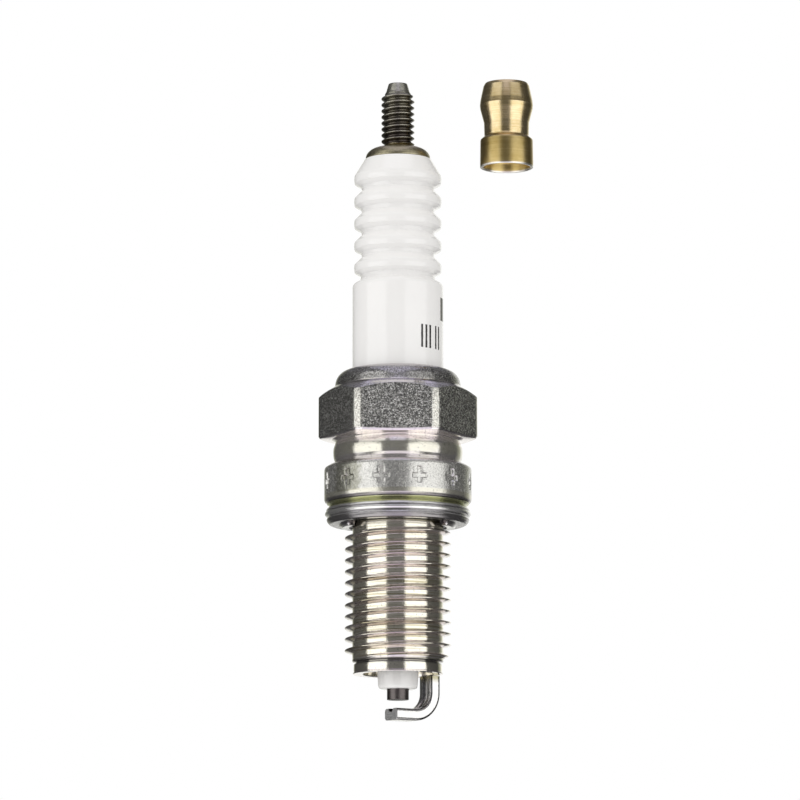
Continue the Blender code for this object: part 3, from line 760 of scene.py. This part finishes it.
def shell_relief(finish, rough, calm, thread, rings):
    """Forged grain on the grainy bands, turned rings on the thread, and a fine unevenness."""
    grain = finish.ramp(finish.noise(FORGED_GRAIN, 2.0, rough=0.5), [(0.54, BLACK), (0.66, WHITE)])
    swell = finish.product(finish.noise(0.4, 2.0), 0.3)
    grain = finish.product(grain, finish.mapped(finish.noise(0.9, 2.0), 0.5, 1.3))
    relief = finish.product(finish.math("ADD", grain, swell),
                            finish.product(rough, calm, FORGED_DEPTH))
    turned = finish.product(rings, finish.product(thread, RING_DEPTH))
    fine = finish.math("ADD", finish.product(finish.noise(0.2, 3.0), FINE_DEPTH), turned)
    return finish.math("ADD", relief, fine)


def shell_finish():
    """Plated steel: grainy and sparkling on the forged bands, fine rings along the thread."""
    finish = Finish("plated_steel", 1.0, 0.2)
    thread = finish.height_mask(THREAD_BANDS)
    rough = finish.product(finish.height_mask(ROUGH_BANDS), flat_mask(finish))
    calm_collar = finish.height_mask(CALM_BANDS)
    calm = finish.math("SUBTRACT", 1.0, finish.product(calm_collar, CALM))
    rings = finish.noise(RING_SIZE, 2.0, LATHE_STRETCH)
    finish.set("Base Color", shell_colour(finish, rough, calm, thread, rings))
    rougher = finish.math("ADD", finish.product(rough, ROUGH_ROUGHER),
                          finish.product(calm_collar, COLLAR_ROUGHER))
    smooth = finish.mapped(finish.noise(0.5), 0.08, 0.2)
    finish.set("Roughness", finish.math("ADD", smooth, rougher))
    finish.set("Metallic", shell_metallic(finish, rough))
    finish.bump(shell_relief(finish, rough, calm, thread, rings), 1.0)
    return finish.material


def glazed_ceramic():
    """White alumina under clear glaze, with a plain printed block and bars on its right."""
    finish = Finish("glazed_alumina", 0.0, 0.12)
    white = finish.ramp(finish.noise(6.0, 3.0),
                        [(0.3, (0.93, 0.925, 0.92)), (0.7, (0.955, 0.95, 0.945))])
    bearing = finish.math("ADD", finish.bearing(), finish.mapped(finish.noise(0.3), -0.5, 0.5))
    height = finish.math("ADD", finish.height(), finish.mapped(finish.noise(0.25), -0.03, 0.03))
    ink = None
    for middle, half_angle, low, high in PRINT_BARS:
        across = finish.math("LESS_THAN", finish.away_from(bearing, middle), half_angle)
        along = finish.math("LESS_THAN", finish.away_from(height, (low + high) / 2),
                            (high - low) / 2)
        bar = finish.product(across, along)
        ink = bar if ink is None else finish.math("MAXIMUM", ink, bar)
    black = finish.ramp(finish.noise(0.15, 2.0),
                        [(0.3, (0.012, 0.011, 0.012)), (0.7, (0.03, 0.027, 0.025))])
    finish.set("Base Color", finish.mix(ink, white, black))
    finish.set("IOR", 1.5)
    finish.bump(finish.noise(1.4, 2.0), 0.006)
    return finish.material


def turned_metal(name, dark, light, roughness, ring_size, ring_depth, skirt=None, rim=None):
    """Metal finished on a lathe: fine rings round the axis over patchy tone.

    A skirt is a duller band, and a rim is a pale band, a painted highlight."""
    finish = Finish(name, 1.0, roughness)
    rings = finish.noise(ring_size, 3.0, LATHE_STRETCH)
    patches = finish.noise(1.6, 4.0)
    both = finish.mix(0.4, patches, rings)
    colour = finish.ramp(both, [(0.33, dark), (0.62, light)])
    rough = finish.mapped(rings, roughness * 0.7, roughness * 1.4)
    if skirt:
        darkened = finish.height_mask((skirt,))
        colour = finish.tinted(darkened, colour, (0.78, 0.74, 0.54))
        rough = finish.math("ADD", rough, finish.product(darkened, 0.08))
    # The rim's pale band is a painted highlight
    if rim:
        colour = finish.mix(finish.height_mask((rim,)), colour, (0.97, 0.94, 0.88))
    finish.set("Base Color", colour)
    finish.set("Roughness", rough)
    finish.bump(rings, ring_depth)
    return finish.material


def stud_finish():
    """Passivated steel: nearly black along the thread, olive at the tip and on the flange."""
    finish = Finish("stud_steel", 1.0, 0.3)
    height = finish.math("SUBTRACT", finish.height(), CERAMIC_TOP)
    share = finish.math("DIVIDE", height, STUD_TIP - CERAMIC_TOP)
    wander = finish.mapped(finish.noise(0.9, 4.0), -0.08, 0.08)
    zones = finish.ramp(finish.math("ADD", share, wander), [
        (0.10, (0.50, 0.45, 0.30)), (0.17, (0.44, 0.38, 0.23)), (0.21, (0.13, 0.11, 0.10)),
        (0.6, (0.18, 0.165, 0.13)), (0.82, (0.28, 0.265, 0.21)), (0.90, (0.56, 0.55, 0.47))])
    crests = finish.map_range(finish.radius(), CREST_RADII)
    brighter_crests = finish.product(crests, finish.height_mask(STUD_THREAD_BANDS), CREST_SHARE)
    zones = finish.mix(brighter_crests, zones, (0.52, 0.50, 0.42))
    fine = finish.ramp(finish.noise(0.25, 4.0), [(0.3, (0.72, 0.72, 0.72)), (0.65, WHITE)])
    finish.set("Base Color", finish.tinted(1.0, zones, fine))
    finish.set("Roughness", finish.mapped(finish.noise(0.4), 0.2, 0.45))
    finish.bump(finish.noise(0.15, 4.0, (1, 1, 0.5)), 0.008)
    return finish.material


def strap_finish():
    """Bright nickel strip: sheared and dull at its tip, tinted by heat at the weld, with painted
    shade on its rounded edges.
    """
    finish = Finish("bright_nickel", 1.0, 0.2)
    cosine, sine = math.cos(STRAP_BEARING), math.sin(STRAP_BEARING)
    x, y, _ = finish.split(finish.place)
    along = finish.math("ADD", finish.product(x, cosine / MM), finish.product(y, sine / MM))
    tip = finish.math("LESS_THAN", along, -STRAP_PAST + TORN_DEPTH)
    drawn = finish.ramp(finish.noise(0.3, 4.0, (1, 1, 4)),
                        [(0.3, (0.66, 0.65, 0.63)), (0.7, (0.80, 0.79, 0.78))])
    torn = finish.ramp(finish.noise(0.12, 3.0),
                       [(0.35, (0.30, 0.30, 0.30)), (0.6, (0.62, 0.62, 0.62))])
    heated = finish.ramp(finish.noise(0.3, 3.0),
                         [(0.3, (0.26, 0.24, 0.15)), (0.7, (0.48, 0.45, 0.31))])
    shade = finish.mix(finish.eased(finish.height(), WELD_LOW, WELD_HIGH), drawn, heated)
    # Painted shade on the faces that turn sideways: the strip's rounded edges and its groove's
    # walls
    normal_x, normal_y, _ = finish.facing()
    sideways = finish.math("SUBTRACT", finish.product(normal_x, sine),
                           finish.product(normal_y, cosine))
    edges = finish.ramp(finish.math("ABSOLUTE", sideways),
                        [(0.45, BLACK), (0.65, WHITE), (0.9, WHITE), (0.97, BLACK)])
    edge_shade = finish.ramp(finish.noise(0.15, 3.0),
                       [(0.35, (0.16, 0.16, 0.17)), (0.65, (0.45, 0.45, 0.46))])
    shade = finish.tinted(edges, shade, edge_shade)
    finish.set("Base Color", finish.mix(tip, shade, torn))
    finish.set("Metallic", finish.math("SUBTRACT", 1.0, finish.product(tip, 0.35)))
    finish.set("Roughness", finish.math("ADD", finish.mapped(finish.noise(0.4), 0.10, 0.24),
                                        finish.product(tip, 0.2)))
    coarse = finish.product(finish.noise(0.1, 3.0), finish.product(tip, 0.03))
    fine = finish.product(finish.noise(0.2, 3.0), 0.006)
    finish.bump(finish.math("ADD", coarse, fine), 1.0)
    return finish.material


def powder(name, dark, light, size, roughness, metallic=0.0):
    """Fused or pressed powder."""
    finish = Finish(name, metallic, roughness)
    finish.set("Base Color", finish.ramp(finish.noise(size, 6.0), [(0.35, dark), (0.65, light)]))
    finish.bump(finish.noise(size * 0.6, 4.0), 0.05)
    return finish.material


# ------------------------------------------------------------------ put the pieces in place

def put(obj, body, material, slot, *nodes):
    """Give a piece its finish and its body, and let it stand for its CAD nodes. Its slot is not
    used.
    """
    obj.data.materials.clear()
    obj.data.materials.append(material)
    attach(obj, body)
    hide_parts(*nodes)


brass = turned_metal("nut_brass", (0.57, 0.43, 0.19), (0.82, 0.67, 0.41), 0.22, 0.12, 0.003,
                     NUT_SKIRT, NUT_RIM_HIGHLIGHT)
nickel = turned_metal("dark_nickel", (0.09, 0.08, 0.077), (0.17, 0.15, 0.145), 0.34, 0.1, 0.002)
put(build_shell(), BODY, shell_finish(), "plated_steel", "shell")
put(build_insulator(), BODY, glazed_ceramic(), "glazed_alumina", "insulator")
put(build_stud(), BODY, stud_finish(), "stud_steel", "terminal_stud")
put(build_nut(), "terminal_nut", brass, "nut_brass", "terminal_nut")
put(build_gasket(), "gasket", gasket_finish(), "gasket_steel", "gasket")
put(build_center_electrode(), BODY, nickel, "dark_nickel", "center_electrode")
put(build_ground_electrode(), BODY, strap_finish(), "bright_nickel", "ground_electrode")

# The inner pieces stay as CAD, with finishes of their own
copper = turned_metal("copper", (0.62, 0.32, 0.22), (0.80, 0.46, 0.33), 0.25, 0.1, 0.002)
copper_glass = powder("copper_glass", (0.24, 0.11, 0.07), (0.46, 0.26, 0.17), 0.3, 0.5, 0.4)
packing = turned_metal("packing_steel", (0.32, 0.32, 0.32), (0.50, 0.50, 0.49), 0.4, 0.2, 0.004)
INNER = {
    "center_electrode_core": copper,
    "lower_glass_seal": copper_glass,
    "upper_glass_seal": copper_glass,
    "resistor": powder("resistor_glass", (0.06, 0.06, 0.065), (0.17, 0.17, 0.18), 0.25, 0.7),
    "talc_filling": powder("talc", (0.72, 0.70, 0.66), (0.88, 0.86, 0.83), 0.2, 0.9),
    "seat_packing": packing,
    "lower_packing_ring": packing,
    "upper_packing_ring": packing,
}
for node, material in INNER.items():
    carried = frame["nodes"][node]
    carried.data.materials.clear()
    carried.data.materials.append(material)


# ------------------------------------------------------------------ floor, lights, world, camera

CAMERA_AZIMUTH, CAMERA_ELEVATION = math.radians(1), math.radians(-8.8)
CAMERA_DISTANCE, CAMERA_LENS, SENSOR = 0.5, 202.1, 36.0
CAMERA_NEAR, CAMERA_FAR = 0.05, 50.0
AIM_HEIGHT, AIM_RIGHT = 0.01163, 0.00023
FLOOR_DEPTH, FLOOR_SIZE = 0.45, 12
AMBIENT = (0.93, 0.92, 0.90)          # the light that matt surfaces get from all round

# What shiny surfaces see. The room and the backdrop go by the share of the way from the
# front (0) to the back (1), which BACK_SKEW turns a little to the right.
BACK_SKEW = 0.18
ROOM_STOPS = ((0.0, (0.15, 0.15, 0.155)), (0.12, (0.13, 0.13, 0.135)), (0.4, (0.09, 0.09, 0.09)),
              (0.87, (0.06, 0.06, 0.06)))
BACKDROP_STOPS = ((0.89, BLACK), (0.94, (0.24, 0.25, 0.19)), (0.975, (0.45, 0.46, 0.38)),
                  (0.992, (1.0, 1.0, 0.95)))
# The backdrop's lower and upper edges, from straight down (0) to straight up (1)
BACKDROP_BAND = ((0.385, BLACK), (0.405, WHITE), (0.70, WHITE), (0.73, BLACK))
# The ceiling is lit across a middle that widens upwards: half its width goes as a slope and a
# start, and is never under CEILING_LEAST. REACH is the ramp's position at that half width.
CEILING_WEDGE, CEILING_LEAST, CEILING_REACH = (2.57, -1.9), 0.22, 0.95
CEILING_STOPS = ((0.9, (0.60, 0.58, 0.72)), (0.99, (0.08, 0.08, 0.08)))
CEILING_BAND = ((0.76, BLACK), (0.80, WHITE))
# The table is darker in a wedge that widens towards the front, and its edge is lower behind
TABLE_WEDGE, TABLE_TILT, TABLE_REACH = (-0.2, 0.2), 0.28, 0.12
TABLE_STOPS = ((0.09, (0.90, 0.83, 0.95)), (0.14, (1.6, 1.57, 1.52)), (0.40, (1.4, 1.38, 1.34)),
               (0.58, (0.30, 0.30, 0.30)))
TABLE_BAND = ((0.16, WHITE), (0.18, BLACK))
# Softboxes: bearing in degrees from the front, lowest and highest edge and width in metres,
# radiance, and whether shiny and matt surfaces see it
SOFTBOXES = (
    ("left_softbox", -56, -0.42, 0.30, 1.0, 1.45, True, False),
    ("right_softbox", 49, -0.42, 0.30, 1.1, 1.45, True, False),
    ("left_upper_softbox", -52, 0.53, 1.15, 1.0, 0.85, True, False),
    ("right_upper_softbox", 49, 0.53, 1.15, 1.0, 0.6, True, False),
    ("front_fill", -28, -0.30, 0.50, 0.8, 0.42, False, True),
)
SOFTBOX_DISTANCE = 0.95


def direction(azimuth, elevation):
    """Unit vector from the object towards a viewer; azimuth 0 is -Y, positive towards +X."""
    return Vector((math.sin(azimuth) * math.cos(elevation),
                   -math.cos(azimuth) * math.cos(elevation), math.sin(elevation)))


def build_floor():
    """A pale floor. Shiny surfaces see the world's table in its place."""
    bpy.ops.mesh.primitive_plane_add(size=FLOOR_SIZE, location=(0, 0, -FLOOR_DEPTH))
    floor = bpy.context.object
    floor.name = "studio_floor"
    finish = Finish("pale_floor", 0.0, 0.7)
    finish.set("Base Color", finish.ramp(finish.noise(400.0, 3.0),
                                         [(0.3, (0.86, 0.86, 0.86)), (0.7, (0.90, 0.90, 0.90))]))
    floor.data.materials.append(finish.material)
    floor.visible_glossy = False


def build_light(name, azimuth, low, high, width, radiance, lights_shiny, lights_matt):
    light = bpy.data.lights.new(name, "AREA")
    light.shape = "RECTANGLE"
    light.size = width
    light.size_y = high - low
    light.energy = radiance * width * (high - low) * math.pi
    obj = bpy.data.objects.new(name, light)
    away = direction(math.radians(azimuth), 0)
    obj.location = away * SOFTBOX_DISTANCE + Vector((0, 0, (low + high) / 2))
    obj.rotation_euler = away.to_track_quat("Z", "Y").to_euler()
    obj.visible_camera = False
    obj.visible_glossy = lights_shiny
    obj.visible_diffuse = lights_matt
    bpy.context.scene.collection.objects.link(obj)


def build_world():
    """White to the camera and an even light to matt surfaces. Shiny surfaces see a dim room
    with a bright table, a lit ceiling and a pale backdrop behind the plug."""
    world = bpy.data.worlds.new("studio")
    bpy.context.scene.world = world
    world.use_nodes = True
    nodes = Nodes(world.node_tree)

    def line(value, slope, start):
        return nodes.math("ADD", nodes.product(value, slope), start)

    def share(value):
        """Carry -1 to 0 and 1 to 1."""
        return nodes.product(nodes.math("ADD", value, 1.0), 0.5)

    x, y, z = nodes.split(nodes.node("ShaderNodeTexCoord").outputs["Generated"])
    level = nodes.math("SQRT", nodes.math("ADD", nodes.product(x, x), nodes.product(y, y)))
    behind = nodes.math("DIVIDE", nodes.math("ADD", y, nodes.product(x, BACK_SKEW)), level)
    share_back, share_up = share(behind), share(z)
    sideways = nodes.math("ABSOLUTE", x)

    room = nodes.ramp(share_back, ROOM_STOPS)
    backdrop = nodes.tinted(1.0, nodes.ramp(share_back, BACKDROP_STOPS),
                            nodes.ramp(share_up, BACKDROP_BAND))
    ceiling_half = nodes.math("MAXIMUM", line(z, *CEILING_WEDGE), CEILING_LEAST)
    across_ceiling = nodes.product(nodes.math("DIVIDE", sideways, ceiling_half), CEILING_REACH)
    ceiling = nodes.tinted(1.0, nodes.ramp(across_ceiling, CEILING_STOPS),
                           nodes.ramp(share_up, CEILING_BAND))
    across_table = nodes.product(nodes.math("DIVIDE", sideways, line(y, *TABLE_WEDGE)),
                                 TABLE_REACH)
    table_up = share(nodes.math("ADD", z, nodes.product(y, TABLE_TILT)))
    table = nodes.tinted(1.0, nodes.ramp(across_table, TABLE_STOPS),
                         nodes.ramp(table_up, TABLE_BAND))

    to_shiny = nodes.blend("ADD", 1.0, nodes.blend("ADD", 1.0, room, backdrop),
                           nodes.blend("ADD", 1.0, ceiling, table))
    rays = nodes.node("ShaderNodeLightPath").outputs
    to_object = nodes.mix(rays["Is Diffuse Ray"], to_shiny, AMBIENT)
    background = nodes.tree.nodes["Background"]
    nodes.link(nodes.mix(rays["Is Camera Ray"], to_object, WHITE), background.inputs["Color"])
    background.inputs["Strength"].default_value = 1.0


def build_camera():
    camera = bpy.data.cameras.new("camera")
    camera.lens = CAMERA_LENS
    camera.sensor_width = SENSOR
    camera.clip_start = CAMERA_NEAR
    camera.clip_end = CAMERA_FAR
    obj = bpy.data.objects.new("camera", camera)
    away = direction(CAMERA_AZIMUTH, CAMERA_ELEVATION)
    aim = Vector((AIM_RIGHT, 0, AIM_HEIGHT))
    obj.location = aim + away * CAMERA_DISTANCE
    obj.rotation_euler = away.to_track_quat("Z", "Y").to_euler()
    bpy.context.scene.collection.objects.link(obj)
    bpy.context.scene.camera = obj


build_floor()
build_world()
for softbox in SOFTBOXES:
    build_light(*softbox)
build_camera()
bpy.context.scene.view_settings.view_transform = "Standard"
